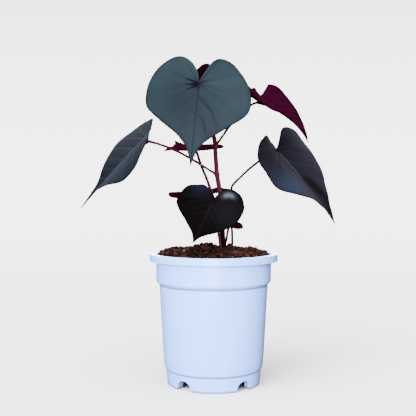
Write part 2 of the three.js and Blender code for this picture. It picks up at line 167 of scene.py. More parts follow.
def leafMaterial(name, look):
    # Living leaf: a waxy skin over coloured tissue. The wax gives a faint soft gloss, the veins are darker or
    # paler threads, and the mesh of the finest veins (about 1.6 mm apart) grains the light. Painted light and
    # sheen, painted shade and, on the black blade, a painted highlight are laid into the colour.
    material, tree = newMaterial(name)
    objectPlace = addNode(tree, "TexCoord", output="Object")
    flatPlace = addNode(tree, "UVMap", {"uv_map": "flat"})
    mottle = addNode(tree, "TexNoise", {"Scale": leafGrain["mottle"], "Detail": 5.0, "Roughness": 0.6},
                     {"Vector": objectPlace})
    mottled = addNode(tree, "MapRange", {"From Min": 0.3, "From Max": 0.7}, {"Value": mottle})
    sides = []
    # the sheen, shading and crease tones laid on here are painted light and shade
    for tones in (look["upper"], look["under"]):
        colour = tones["body"]
        for key in list(tones)[1:]:
            amount = mottled
            if key != "deep":
                amount = addNode(tree, "Attribute", {"attribute_name": key}, output="Fac")
            colour = addNode(tree, "Mix", {"data_type": "RGBA"}, {0: amount, 6: colour, 7: tones[key]}, 2)
        sides.append(colour)
    turned = addNode(tree, "Attribute", {"attribute_name": "turned"}, output="Fac")
    colour = addNode(tree, "Mix", {"data_type": "RGBA"}, {0: turned, 6: sides[0], 7: sides[1]}, 2)

    areoles = addNode(tree, "TexVoronoi",
                      {"feature": "DISTANCE_TO_EDGE", "Scale": leafGrain["areoles"], "Randomness": 0.9},
                      {"Vector": flatPlace}, "Distance")
    threads = addNode(tree, "MapRange", {"From Max": leafGrain["threadWidth"]}, {"Value": areoles})
    pores = addNode(tree, "TexNoise", {"Scale": leafGrain["pores"], "Detail": 3.0}, {"Vector": objectPlace})
    height = addNode(tree, "Math", {"operation": "MULTIPLY_ADD", 1: leafGrain["poreShare"]},
                     {0: pores, 2: threads})
    bump = addNode(tree, "Bump", {"Strength": look["grain"], "Distance": leafGrain["depth"]},
                   {"Height": height})
    smoothest, dullest = (look["roughness"] + part for part in leafGrain["roughnessSpread"])
    worn = addNode(tree, "MapRange", {"To Min": smoothest, "To Max": dullest}, {"Value": mottle})
    closeMaterial(tree, {
        "IOR": 1.42, "Specular IOR Level": look["gloss"], "Coat Weight": look["wax"], "Coat Roughness": 0.25,
        "Subsurface Weight": look.get("glow", 0.0),  # light that soaks through the thin blade
        "Subsurface Radius": (0.0025, 0.001, 0.0018), "Subsurface Scale": 1.0},
        {"Base Color": colour, "Normal": bump, "Roughness": worn})
    return material


# each side's body and deep are mottled together, and the others are laid over them by the value of that name:
# the sheen tone is painted light and sheen (on the wine red blades partly a tint), the shading tone painted
# shade (on the black blade a painted lighter half) and the crease tone painted shade in the folds (on the
# black blade a painted highlight)
wineUnder = {"body": "#4d0b30", "deep": "#3e0927", "blush": "#8a2b3e", "edge": "#2a0414", "vein": "#651a3c"}
leafLooks = {
    "slateLeafSkin": {
        "upper": {"body": "#526a74", "deep": "#485e6c", "blush": "#505d6c", "shade": "#3c4d5b",
                  "edge": "#26343d", "vein": "#37284a", "crease": "#202634", "heart": "#150c14"},
        "under": wineUnder, "roughness": 0.5, "gloss": 0.12, "wax": 0.0, "grain": 0.45},
    "duskLeafSkin": {
        "upper": {"body": "#313a4c", "deep": "#2a3242", "blush": "#39485a", "shade": "#1e2536",
                  "edge": "#232b36", "vein": "#66737e", "crease": "#1c2230", "heart": "#0d0a10"},
        "under": wineUnder, "roughness": 0.45, "gloss": 0.12, "wax": 0.0, "grain": 0.5},
    "inkLeafSkin": {
        "upper": {"body": "#383348", "deep": "#302c3f", "blush": "#454f6e", "shade": "#262234",
                  "edge": "#17151d", "vein": "#7c7684", "crease": "#0d0b10", "heart": "#120c14"},
        "under": wineUnder, "roughness": 0.45, "gloss": 0.1, "wax": 0.0, "grain": 0.5},
    "blackLeafSkin": {
        "upper": {"body": "#0d060b", "deep": "#090508", "blush": "#2c3046", "shade": "#222329",
                  "edge": "#0a0709", "vein": "#3e2431", "crease": "#97a3b6", "heart": "#0a0609"},
        "under": wineUnder, "roughness": 0.38, "gloss": 0.04, "wax": 0.02, "grain": 0.45},
    "wineLeafSkin": {
        "upper": {"body": "#4f0d33", "deep": "#410a2a", "blush": "#8a2b3e", "shade": "#1f0410",
                  "edge": "#2a0414", "vein": "#300516", "crease": "#1a040c", "heart": "#1a0a14"},
        "under": wineUnder, "glow": 0.22, "roughness": 0.6, "gloss": 0.0, "wax": 0.0, "grain": 0.5},
}
leafSkins = {name: leafMaterial(name, look) for name, look in leafLooks.items()}
print("leaf materials made")


stemLook = {"flesh": "#b23c5a", "fleshDeep": "#842b45", "woody": "#170c12", "streak": 0.0011,
            "roughness": 0.42, "woodyRoughness": 0.75, "grain": 0.35}


def stemMaterial(name, look):
    # Fleshy young stem: smooth skin with fine lengthwise streaks, going dark, corky and matt where it is
    # woody, near the soil and along the longer stalks.
    material, tree = newMaterial(name)
    place = addNode(tree, "TexCoord", output="Object")
    squeeze = addNode(tree, "Mapping", {"Scale": (1.0, 1.0, 0.08)}, {"Vector": place})
    streaks = addNode(tree, "TexNoise", {"Scale": 1 / look["streak"], "Detail": 4.0}, {"Vector": squeeze})
    spread = addNode(tree, "MapRange", {"From Min": 0.35, "From Max": 0.65}, {"Value": streaks})
    bark = addNode(tree, "Attribute", {"attribute_name": "woody"}, output="Fac")
    colour = look["flesh"]
    for amount, tone in ((spread, "fleshDeep"), (bark, "woody")):
        colour = addNode(tree, "Mix", {"data_type": "RGBA"}, {0: amount, 6: colour, 7: look[tone]}, 2)
    bump = addNode(tree, "Bump", {"Strength": look["grain"], "Distance": 0.0002}, {"Height": streaks})
    dull = addNode(tree, "MapRange", {"To Min": look["roughness"], "To Max": look["woodyRoughness"]},
                   {"Value": bark})
    closeMaterial(tree, {"IOR": 1.42, "Specular IOR Level": 0.4},
                  {"Base Color": colour, "Normal": bump, "Roughness": dull})
    return material


stemSkin = stemMaterial("fleshyStemSkin", stemLook)


# Half the outline of a flat blade, from the bottom of its notch round the lobe to its tip: along the
# midrib in lengths, across it in half widths.
halfOutline = np.array([
    (-0.03, 0), (-0.14, 0.06), (-0.26, 0.2), (-0.31, 0.4), (-0.26, 0.66), (-0.1, 0.91), (0.1, 1),
    (0.3, 0.88), (0.48, 0.6), (0.63, 0.34), (0.76, 0.16), (0.88, 0.06), (1, 0)])
notchFollow = np.array([0, 1, 0.75, 0.35, 0.1] + [0] * 8)  # how far each point follows the notch's opening
fullnessStations = [-0.3, 0.05, 0.4, 0.75]
lobeLength, twistFrom = 0.34, -0.3  # in lengths: how long a lobe is, and where along the twist begins

# The blades: place of the junction, direction of the midrib (degrees round +Z from +X, and above
# level), roll about it, length and half width, then how the blade is bent. Pairs are (left, right) of the
# midrib, seen from the upper side. At the tip the blade has turned by twist, in degrees, and moved aside by
# sway, in hundredths of its length. Three soft spots of other colour are each along, across, size: the sheen
# spot is painted light and sheen (on the wine red blades partly a tint), the shading spot is painted shade
# (on the black front blade a painted lighter half), and heart is darker at the junction. veinTone is how
# much the midrib and the side veins show, and how far out the side veins last. A crease is a line of points
# (along, across) with its width and its depth; along it the colour is painted shade, and on the black front
# blade a painted highlight.
wineLeaf = {  # what the five wine red blades share where they don't say otherwise
    "skin": "wineLeafSkin", "slot": "maroon_leaf", "wave": 0.0004, "quilt": 0.0004,
    "shade": (0.95, 0, 0.12), "heart": (0, 0, 0.06), "creases": ()}
leaves = {
    # the crown's sheen spot paints light on its right half, its shading spot paints shade beside the midrib on
    # the left, and its creases paint shade along the folds
    "crown": {
        "skin": "slateLeafSkin", "slot": "slate_leaf",
        "junction": (-0.017, -0.0225, 0.3465), "heading": -105, "pitch": -70, "roll": 14,
        "length": 0.1025, "halfWidth": 0.0607, "bend": 0, "bendPower": 1,
        "lobeReach": (1.06, 1.09), "fold": (-7.5, -3.5), "curl": (2, -8), "lobeDroop": (-15, -2),
        "sinus": (0.03, -0.015), "fullness": ((0.95, 1.0, 1.14, 0.89), (1.03, 0.972, 1.13, 0.84)),
        "twist": 0, "sway": 0, "wave": 0.0006, "quilt": 0.0005,
        "blush": (0.5, -0.22, 0.3), "shade": (0.2, 0.3, 0.4), "heart": (0.01, 0.05, 0.05),
        "veinTone": (0.6, 0.55, 0.15),
        "creases": ((((0.15, 0), (0.22, -0.12), (0.32, -0.28), (0.5, -0.42)), 0.016, 0.6),
                    (((0.36, 0), (0.43, -0.13), (0.55, -0.2), (0.65, -0.25)), 0.016, 0.5),
                    (((0, 0.01), (-0.03, 0.12), (-0.06, 0.27)), 0.008, 1.2),
                    (((0, 0.01), (0.01, 0.13), (0.01, 0.27)), 0.008, 1.2),
                    (((0, 0.01), (0.04, 0.1), (0.08, 0.22)), 0.008, 1.1),
                    (((0, -0.01), (-0.03, -0.08), (-0.05, -0.15)), 0.008, 0.8))},
    "top": wineLeaf | {
        "junction": (0.003, 0.015, 0.3538), "heading": 95, "pitch": -50, "roll": 0,
        "length": 0.064, "halfWidth": 0.032, "bend": 10, "bendPower": 1.5,
        "lobeReach": (1.25, 1.1), "fold": (8, 8), "curl": (5, 5), "lobeDroop": (0, 0),
        "sinus": (0.03, 0.03), "fullness": ((0.92, 1, 1, 1), (1, 1, 1, 1)),
        "twist": 0, "sway": 0,
        "blush": (-0.2, 0, 0.1), "veinTone": (0.5, 0.4, 0.3), "heart": (0, 0, 0.08)},
    # this blade's sheen spot paints light on its middle, and its shading spot paints shade on the tip half
    "left": {
        "skin": "duskLeafSkin", "slot": "dark_leaf",
        "junction": (-0.0745, -0.0345, 0.282), "heading": 154, "pitch": -37, "roll": 10,
        "length": 0.1195, "halfWidth": 0.0535, "bend": 10, "bendPower": 1.45,
        "lobeReach": (0.61, 0.22), "fold": (10.5, 45), "curl": (-70, -27), "lobeDroop": (-14.5, 23),
        "sinus": (0.32, 0.17), "fullness": ((1.01, 0.99, 1.16, 1.11), (1.1, 0.9, 1.145, 0.54)),
        "twist": 25, "sway": -6.5, "wave": 0.0005, "quilt": 0.0005,
        "blush": (0.35, -0.45, 0.35), "shade": (0.75, 0.1, 0.33), "veinTone": (0.7, 0.4, 0.6),
        "heart": (-0.01, 0.03, 0.06), "creases": ()},
    # this blade's sheen spot paints a bluish sheen on the lower left, its shading spot paints shade on the half
    # the lamps light more, and its crease paints a dark band of shade beyond the midrib
    "right": {
        "skin": "inkLeafSkin", "slot": "dark_leaf",
        "junction": (0.0785, 0.0415, 0.275), "heading": -2, "pitch": -48.5, "roll": -34,
        "length": 0.12, "halfWidth": 0.066, "bend": 10.5, "bendPower": 2.06,
        "lobeReach": (0.5, 0.74), "fold": (22.5, 24.5), "curl": (-37, -47), "lobeDroop": (-25.5, -49.5),
        "sinus": (0.25, -0.08), "fullness": ((1.01, 0.95, 1.04, 1.4), (0.98, 0.925, 1.22, 1.12)),
        "twist": 6, "sway": 1.3, "wave": 0.0005, "quilt": 0.0004,
        "blush": (0.38, 0.74, 0.24), "shade": (-0.05, 0.55, 0.28), "heart": (0, 0, 0.04),
        "veinTone": (1.0, 0.14, 0.5),
        "creases": ((((0.36, -0.03), (0.52, -0.12), (0.7, -0.17), (0.9, -0.06)), 0.055, 1.0),)},
    "upper": wineLeaf | {
        "junction": (0.054, 0.0325, 0.3345), "heading": -3.5, "pitch": -26.5, "roll": 17.5,
        "length": 0.085, "halfWidth": 0.0515, "bend": 48, "bendPower": 1.9,
        "lobeReach": (1.25, 0.96), "fold": (34.5, 5), "curl": (36, -54), "lobeDroop": (-83, -22),
        "sinus": (0.05, -0.05), "fullness": ((0.93, 1.09, 0.86, 1.15), (1.1, 1.03, 0.99, 1.04)),
        "twist": -26, "sway": 4.6,
        "blush": (-0.2, 0, 0.1), "veinTone": (0.8, 0.8, 1.2), "heart": (0, 0, 0.08)},
    # this blade's sheen spot paints light on the upper left lobe, its shading spot paints the right half
    # lighter, and its crease paints a highlight on the right lobe
    "front": {
        "skin": "blackLeafSkin", "slot": "dark_leaf",
        "junction": (0, -0.048, 0.215), "heading": -121, "pitch": -47, "roll": 32.5,
        "length": 0.065, "halfWidth": 0.041, "bend": -5, "bendPower": 1.25,
        "lobeReach": (1.06, 0.95), "fold": (-2, -2.5), "curl": (-13, -5), "lobeDroop": (-9.5, 35.5),
        "sinus": (0, 0.06), "fullness": ((1.04, 0.86, 0.92, 1.34), (1, 0.88, 1.1, 1.38)),
        "twist": 3.5, "sway": 0.5, "wave": 0.0005, "quilt": 0.0006,
        "blush": (-0.2, 0.5, 0.2), "shade": (0.15, -0.55, 0.33), "veinTone": (0.55, 0.2, 0.4),
        "heart": (0, 0, 0.06),
        "creases": ((((-0.12, -0.2), (-0.2, -0.32), (-0.2, -0.48)), 0.05, 0.9),)},
    "mid": wineLeaf | {
        "junction": (-0.02, 0.0205, 0.274), "heading": 126, "pitch": 8.5, "roll": 2.5,
        "length": 0.055, "halfWidth": 0.0395, "bend": -22, "bendPower": 1.7,
        "lobeReach": (1.07, 0.97), "fold": (4.5, 0.5), "curl": (-11, 14.5), "lobeDroop": (5, -18.5),
        "sinus": (-0.02, 0), "fullness": ((0.9, 1.1, 0.96, 1.02), (1.1, 1, 1.13, 0.95)),
        "twist": 4, "sway": 3.5,
        "blush": (0.3, 0, 0.2), "veinTone": (0.4, 0.4, 0.3)},
    "back": wineLeaf | {
        "junction": (-0.0165, 0.027, 0.222), "heading": 101.5, "pitch": -11.5, "roll": 7.5,
        "length": 0.0485, "halfWidth": 0.0415, "bend": 2.5, "bendPower": 1.17,
        "lobeReach": (0.94, 1), "fold": (2, 5), "curl": (10.5, -14), "lobeDroop": (5, -9.5),
        "sinus": (-0.03, 0.07), "fullness": ((1.14, 0.91, 0.95, 1), (1.06, 0.92, 1.04, 0.96)),
        "twist": 5.5, "sway": -0.4,
        "blush": (0.3, 0, 1.5), "veinTone": (0.4, 0.4, 0.3)},
    "low": wineLeaf | {
        "junction": (0.0195, 0.026, 0.1835), "heading": 70, "pitch": -16, "roll": 4,
        "length": 0.0315, "halfWidth": 0.017, "bend": -10, "bendPower": 1.18,
        "lobeReach": (1.07, 0.97), "fold": (-5.5, 1), "curl": (-8, -5.5), "lobeDroop": (-1, -6.5),
        "sinus": (-0.05, 0.04), "fullness": ((1.04, 0.91, 0.84, 1.04), (1.11, 0.95, 0.99, 1.13)),
        "twist": -26.5, "sway": 2.8, "wave": 0.0003, "quilt": 0.0003,
        "blush": (0.3, 0, 1.5), "veinTone": (0.4, 0.4, 0.3)},
}

bladeDetail = {
    "thickness": 0.0005, "edgeThickness": 0.00022, "trim": 0.993,
    "largeSteps": (170, 52), "smallSteps": (100, 30), "largeFrom": 0.08,
    "arcSteps": 160, "lobeArcSteps": 80, "lobeArc": 0.6,  # a lobe's arc is this many lengths long
    # Veins on a blade 0.1 long. veinTaper is the share of the width at the edge and at the junction, and the
    # side veins' width and depth are shares of the midrib's.
    "sizedFor": 0.1, "veinWidth": 0.0011, "veinRidge": 0.00045, "veinGroove": 0.00022,
    "veinTaper": (0.45, 1.25), "sideVeinWidth": 0.75, "sideVeinDepth": 0.8, "leastTone": 0.1,
    "pinchDepth": 0.0005, "pinchSize": 0.09, "quiltFade": 0.004, "quiltEnd": 1.15,
    "creaseDepth": 0.0005, "creaseSteps": 24, "creaseEnds": (0.02, 0.98),
    "edgeWaves": ((9, 1, 1), (17, 0, 0.6)), "edgeTone": 0.85,  # waves round the edge: count, phase, height
    # powers of the way out, from 0 at the junction to 1 at the edge
    "wavePower": 4, "ridgePower": 6, "thinPower": 10, "edgePower": 28,
    # main side veins: where they leave the midrib (in lengths), angle to it, how they sweep to the tip
    "veins": ((0.0, 146, 0.0), (0.0, 112, 0.05), (0.0, 78, 0.12), (0.0, 54, 0.1), (0.15, 52, 0.16),
              (0.3, 50, 0.18), (0.44, 48, 0.2), (0.57, 46, 0.2), (0.69, 44, 0.2), (0.8, 42, 0.2))}


def cubicBetween(here, after, startSlope, endSlope, t):
    # the cubic in t from here to after that has these slopes at its ends
    cubic = (2 * here - 2 * after + startSlope + endSlope) * t ** 3
    square = (-3 * here + 3 * after - 2 * startSlope - endSlope) * t ** 2
    return cubic + square + startSlope * t + here


def catmullRom(points, steps):
    # uniform spline through the points, with its ends held
    padded = np.vstack([points[:1], points, points[-1:]])
    place = np.linspace(0, len(points) - 1, steps + 1)
    low = np.minimum(place.astype(int), len(points) - 2)
    before, here, after, beyond = (padded[low + k] for k in range(4))
    return cubicBetween(here, after, (after - before) / 2, (beyond - here) / 2, (place - low)[:, None])


def sideOutline(leaf, side, steps):
    # one side of the flat outline: the half outline widened by fullness, its lobe lengthened by its reach
    along, across = halfOutline[:, 0], halfOutline[:, 1]
    widened = np.interp(along, fullnessStations, leaf["fullness"][side])
    width = (across + leaf["sinus"][side] * notchFollow) * widened
    reach = np.where(along < 0, along * leaf["lobeReach"][side], along)
    return catmullRom(np.stack([reach, width], -1), steps)


def bladeOutline(leaf, steps):
    # the whole flat outline, anticlockwise from the bottom of the notch
    right, left = sideOutline(leaf, 1, steps), sideOutline(leaf, 0, steps) * (1, -1)
    notch = [[halfOutline[0, 0] * sum(leaf["lobeReach"]) / 2, 0]]
    return np.vstack([notch, right[1:], left[1:-1][::-1]])


def followArc(distance, pitch):
    # adds up the cosine and sine of a pitch that changes along an arc: forward and up
    middle = (pitch[1:] + pitch[:-1]) / 2
    step = np.diff(distance)
    return np.append(0, np.cumsum(np.cos(middle) * step)), np.append(0, np.cumsum(np.sin(middle) * step))


def bladePoints(leaf, flat):
    # The flat blade bent into place. The midrib's pitch changes as -bend * (s / length) ** bendPower, and a
    # lobe's evenly behind the junction. Across it, each half starts at its fold angle and curls evenly, so
    # its section is a circle's arc. The section is twisted in proportion to the way along.
    length, halfWidth = leaf["length"], leaf["halfWidth"]
    along, across = flat[:, 0] * length, flat[:, 1] * halfWidth
    right = across >= 0
    distance = np.linspace(0, length, bladeDetail["arcSteps"] + 1)
    pitch = -np.radians(leaf["bend"]) * (distance / length) ** leaf["bendPower"]
    forward, up = followArc(distance, pitch)
    y, z, tilt = (np.interp(along, distance, column) for column in (forward, up, pitch))
    for side, chosen in ((0, ~right & (along < 0)), (1, right & (along < 0))):
        distance = np.linspace(0, bladeDetail["lobeArc"] * length, bladeDetail["lobeArcSteps"] + 1)
        pitch = -np.radians(leaf["lobeDroop"][side]) * distance / (lobeLength * length)
        forward, up = followArc(distance, pitch)
        y[chosen] = -np.interp(-along[chosen], distance, forward)
        z[chosen] = np.interp(-along[chosen], distance, up)
        tilt[chosen] = -np.interp(-along[chosen], distance, pitch)
    fold = np.radians(np.where(right, leaf["fold"][1], leaf["fold"][0]))
    curl = np.radians(np.where(right, leaf["curl"][1], leaf["curl"][0])) / halfWidth
    end = fold + curl * np.abs(across)
    out = (np.sin(end) - np.sin(fold)) / curl * np.where(right, 1, -1)
    rise = (np.cos(fold) - np.cos(end)) / curl
    twist = np.radians(leaf["twist"]) * np.clip(flat[:, 0], twistFrom, 1)
    x = out * np.cos(twist) - rise * np.sin(twist)
    h = out * np.sin(twist) + rise * np.cos(twist)
    x = x + leaf["sway"] / 100 * length * np.clip(flat[:, 0], 0, 1) ** 2
    return inPlace(leaf, np.stack([x, y - h * np.sin(tilt), z + h * np.cos(tilt)], -1))


def bladeAxes(leaf):
    # the blade's right, forward and up, from its heading, pitch and roll
    heading, pitch, roll = np.radians([leaf["heading"], leaf["pitch"], leaf["roll"]])
    forward = np.array([np.cos(heading) * np.cos(pitch), np.sin(heading) * np.cos(pitch), np.sin(pitch)])
    level = np.array([np.sin(heading), -np.cos(heading), 0])
    above = np.cross(level, forward)
    right = level * np.cos(roll) + above * np.sin(roll)
    return right, forward, above * np.cos(roll) - level * np.sin(roll)


def inPlace(leaf, local):
    # junction + x * right + y * forward + z * up
    return np.array(leaf["junction"]) + local @ np.array(bladeAxes(leaf))


def veinField(leaf, flat):
    # How much of a vein each point is, 0 to 1, how much of it shows, and how far the nearest vein is. A side
    # vein runs along a = start + b / tan(angle) + sweep * b * b, and the midrib along b = 0. Across it, a vein
    # is exp(-(distance / width) ** 2). Veins thin out from the junction to the edge, and the side veins' colour
    # fades as least + exp(-(distance from the junction / fade) ** 1.5).
    detail, length, halfWidth = bladeDetail, leaf["length"], leaf["halfWidth"]
    along, across = flat[:, 0] * length, np.abs(flat[:, 1]) * halfWidth
    fromJunction = np.hypot(along, across)
    thinnest, widest = detail["veinTaper"]
    taper = np.clip(widest - fromJunction / length, thinnest, widest)
    width = detail["veinWidth"] * (length / detail["sizedFor"]) ** 0.5 * taper
    nearest = np.where(along > 0, across, fromJunction)
    midrib = np.exp(-(nearest / width) ** 2)
    side = np.zeros(len(flat))
    for start, angle, sweep in detail["veins"]:
        course = start * length + across / np.tan(np.radians(angle)) + sweep * across ** 2 / halfWidth
        away = np.abs(along - course) * np.sin(np.radians(angle))
        side = np.maximum(side, np.exp(-(away / (detail["sideVeinWidth"] * width)) ** 2))
        nearest = np.minimum(nearest, away)
    midribTone, sideTone, fade = leaf["veinTone"]
    faded = side * np.clip(detail["leastTone"] + np.exp(-(fromJunction / (fade * length)) ** 1.5), 0, 1)
    relief = np.maximum(midrib, detail["sideVeinDepth"] * side)
    return relief, np.maximum(midrib * midribTone, faded * sideTone), nearest


def creaseField(leaf, flat):
    # depth * exp(-(distance / width) ** 2) from a line through points on the flat blade, all in lengths, easing
    # in and out at its ends
    scale, steps = np.array([1, leaf["halfWidth"] / leaf["length"]]), bladeDetail["creaseSteps"]
    field = np.zeros(len(flat))
    for corners, width, depth in leaf["creases"]:
        line = catmullRom(np.array(corners) * scale, steps)
        away = np.linalg.norm(flat[:, None] * scale - line, axis=2)
        ease = np.sin(np.pi * np.clip(away.argmin(axis=1) / steps, *bladeDetail["creaseEnds"])) ** 0.5
        field = np.maximum(field, depth * ease * np.exp(-(away.min(axis=1) / width) ** 2))
    return field


def spotField(leaf, flat, spot):
    # a soft round spot on the flat blade: exp(-(distance / size) ** 2)
    along, across, size = spot
    away = np.hypot(flat[:, 0] - along, (flat[:, 1] - across) * leaf["halfWidth"] / leaf["length"])
    return np.exp(-(away / size) ** 2)


def makeBlade(name, leaf):
    # two skins on either side of the bent blade, on rings from the junction out to the edge, joined at the edge
    detail = bladeDetail
    steps, rings = detail["largeSteps" if leaf["length"] > detail["largeFrom"] else "smallSteps"]
    outline = bladeOutline(leaf, steps) * detail["trim"]
    count = len(outline)
    outward = np.arange(1, rings + 1) / rings
    flat = np.vstack([[[0, 0]], (outward[:, None, None] * outline).reshape(-1, 2)])
    reach = np.append(0, np.repeat(outward, count))
    turn = np.append(0, np.tile(turnsOf(count), rings))
    middle = bladePoints(leaf, flat)

    vein, veinTone, nearest = veinField(leaf, flat)
    crease = creaseField(leaf, flat)
    fromJunction = np.hypot(flat[:, 0] * leaf["length"], flat[:, 1] * leaf["halfWidth"])
    size = leaf["length"] / detail["sizedFor"]
    quilt = leaf["quilt"] * (1 - np.exp(-(nearest / (detail["quiltFade"] * size)) ** 2))
    quilt = quilt * np.clip(detail["quiltEnd"] - reach, 0, 1)
    pinch = detail["pinchDepth"] * size * np.exp(-(fromJunction / (detail["pinchSize"] * leaf["length"])) ** 2)
    wave = sum(height * np.sin(times * turn + phase) for times, phase, height in detail["edgeWaves"])
    wave = leaf["wave"] * reach ** detail["wavePower"] * wave
    swell = quilt - pinch + wave - detail["creaseDepth"] * crease
    middle = middle + bladeNormals(middle, rings, count) * swell[:, None]
    normal = bladeNormals(middle, rings, count)
    inner, edge = detail["thickness"] / 2, detail["edgeThickness"] / 2
    half = edge + (inner - edge) * (1 - reach ** detail["thinPower"])
    ridge = detail["veinRidge"] * vein * (1 - reach ** detail["ridgePower"])
    topSide = middle + normal * (half - detail["veinGroove"] * vein)[:, None]
    underSide = middle - normal * (half + ridge)[:, None]

    total = len(flat)
    quads = 1 + gridFaces(rings, count)
    tip = fanFaces(0, 1 + np.arange(count))
    rim = total - count + np.arange(count)
    beside = np.roll(rim, -1)
    rim = np.stack([rim + total, beside + total, beside, rim], -1)
    # rings run outward and the outline runs anticlockwise, so the upper side's quads are turned round
    faces = [tip, quads[:, ::-1], tip[:, ::-1] + total, quads + total, rim]
    # the sheen and shading spots and the creases carry painted light and shade into the colour
    values = {key: spotField(leaf, flat, leaf[key]) for key in ("blush", "shade", "heart")}
    values |= {"vein": veinTone, "crease": crease, "edge": detail["edgeTone"] * reach ** detail["edgePower"]}
    values = {key: np.tile(value, 2) for key, value in values.items()}
    values["turned"] = np.repeat([0.0, 1.0], total)
    place = np.tile(flat[:, ::-1] * (leaf["halfWidth"], leaf["length"]), (2, 1))
    makePiece(name + "Blade", np.vstack([topSide, underSide]), faces, leafSkins[leaf["skin"]],
              ["leaf_" + name], values=values, flat=place)


def bladeNormals(middle, rings, count):
    # normals of the middle surface: the cross product of its steps along the rings and outward
    grid = middle[1:].reshape(rings, count, 3)
    around = np.roll(grid, -1, axis=1) - np.roll(grid, 1, axis=1)
    inner = np.concatenate([np.broadcast_to(middle[0], (1, count, 3)), grid[:-1]])
    outer = np.concatenate([grid[1:], grid[-1:]])
    normal = unit(np.cross(outer - inner, around))
    hub = unit(normal[0].mean(axis=0))
    return np.vstack([hub[None], normal.reshape(-1, 3)])


for name, leaf in leaves.items():
    makeBlade(name, leaf)
print("leaf blades made")


holeFloor, soilLevel = 0.122, 0.155  # the stems stand in the soil down to holeFloor
mainStem = {
    "radii": (0.0032, 0.0024), "sides": 28, "steps": 260,
    "nodeSwelling": 0.00045, "nodeLength": 0.0028,
    "nodeReach": 0.003,  # a stalk that starts this near the path makes a node on it
    "woody": (0.196, 0.235),  # dark and corky below the first height, fleshy above the second
    "path": ((0.0125, 0.002, holeFloor), (0.0125, 0.002, soilLevel), (0.011, 0.0015, 0.167),
             (0.0105, 0.001, 0.1775), (0.0085, 0, 0.202), (0.0073, -0.001, 0.225), (0.0054, -0.001, 0.235),
             (0.0038, -0.001, 0.2455), (0.0029, -0.0005, 0.2575), (0.0022, 0, 0.269), (0.0015, 0.001, 0.2825),
             (-0.002, 0.003, 0.2965), (-0.0055, 0.005, 0.3105), (-0.0085, 0.006, 0.325))}
stalkDetail = {
    "radius": 0.0014, "footSwelling": 0.0004, "headSwelling": 0.00015, "swellingLength": 0.006,
    "elbow": 0.0028, "sides": 20, "steps": 170,
    # the tail along the midrib: how far along it is, in lengths, and how far under it
    "tail": (0.03, 0.07, 0.13, 0.2), "tailDepth": (0.0021, 0.0016, 0.0011, 0.0006), "tailRadius": 0.0004}

# Where the second woody height is the lower one, the stalk is dark above the first. Where it is far above the
# stalk, the whole stalk is partly dark.
stalks = {
    "crown": {"woody": (0, 0.01), "path": ((-0.0017, 0.0022, 0.2955), (-0.004, -0.0015, 0.304),
              (-0.0075, -0.004, 0.319), (-0.012, -0.0085, 0.335), (-0.0155, -0.015, 0.344))},
    "top": {"woody": (0, 0.01), "path": ((-0.008, 0.0058, 0.322), (-0.008, 0.007, 0.334),
            (-0.005, 0.01, 0.345), (0, 0.013, 0.3515))},
    "left": {"woody": (0.282, 0.2785), "path": ((0.0043, -0.001, 0.2435), (-0.001, -0.004, 0.2465),
             (-0.01, -0.007, 0.252), (-0.025, -0.0135, 0.261), (-0.0445, -0.022, 0.271),
             (-0.0585, -0.028, 0.2762), (-0.0682, -0.0333, 0.2788))},
    "right": {"woody": (0.165, 0.6), "path": ((0.0223, 0.008, holeFloor), (0.0223, 0.008, 0.1575),
              (0.0218, 0.01, 0.1815), (0.02, 0.011, 0.208), (0.0208, 0.0118, 0.223), (0.0222, 0.0125, 0.2305),
              (0.0322, 0.015, 0.241), (0.0428, 0.019, 0.251), (0.056, 0.026, 0.2613), (0.0695, 0.035, 0.2695))},
    "upper": {"woody": (0.2, 0.5), "path": ((0.0022, 0.0006, 0.278), (0.0052, 0.0016, 0.2815),
              (0.0168, 0.007, 0.2982), (0.031, 0.015, 0.316), (0.044, 0.024, 0.3275))},
    "front": {"woody": (0.2, 0.21), "path": ((0.009, 0, 0.197), (0.0085, -0.01, 0.205), (0.0065, -0.025, 0.212),
              (0.0035, -0.038, 0.215))},
    "mid": {"woody": (0.15, 0.16), "radius": 0.00165, "path": ((0.0077, -0.003, holeFloor),
            (0.0077, -0.003, 0.161), (0.0059, -0.0025, 0.175), (0.004, 0, 0.1965), (0.0003, 0.004, 0.2155),
            (-0.0034, 0.0075, 0.226), (-0.0085, 0.0115, 0.24), (-0.0155, 0.0165, 0.257))},
    "back": {"woody": (0.2, 0.21), "path": ((0.0085, 0, 0.203), (0.005, 0.007, 0.2095), (-0.003, 0.015, 0.215),
             (-0.011, 0.022, 0.219))},
    "low": {"woody": (0.165, 0.18), "path": ((0.0122, 0.002, 0.16), (0.0152, 0.005, 0.167),
            (0.0165, 0.0105, 0.1745), (0.0185, 0.018, 0.181))}}


def smoothPath(points, steps, fineness=30):
    # centripetal Catmull-Rom through the points, then stepped evenly along its length
    points = np.array(points, float)
    padded = np.vstack([2 * points[0] - points[1], points, 2 * points[-1] - points[-2]])
    span = np.linalg.norm(np.diff(padded, axis=0), axis=1)[:, None] ** 0.5
    before, here, after, beyond = padded[:-3], padded[1:-2], padded[2:-1], padded[3:]
    a, b, c = span[:-2], span[1:-1], span[2:]
    startSlope = ((here - before) / a - (after - before) / (a + b) + (after - here) / b) * b
    endSlope = ((after - here) / b - (beyond - here) / (b + c) + (beyond - after) / c) * b
    t = np.linspace(0, 1, fineness, endpoint=False)[:, None, None]
    fine = cubicBetween(here, after, startSlope, endSlope, t).transpose(1, 0, 2).reshape(-1, 3)
    fine = np.vstack([fine, points[-1:]])
    run = np.append(0, np.cumsum(np.linalg.norm(np.diff(fine, axis=0), axis=1)))
    even = np.linspace(0, run[-1], steps + 1)
    return np.stack([np.interp(even, run, fine[:, k]) for k in range(3)], -1), even


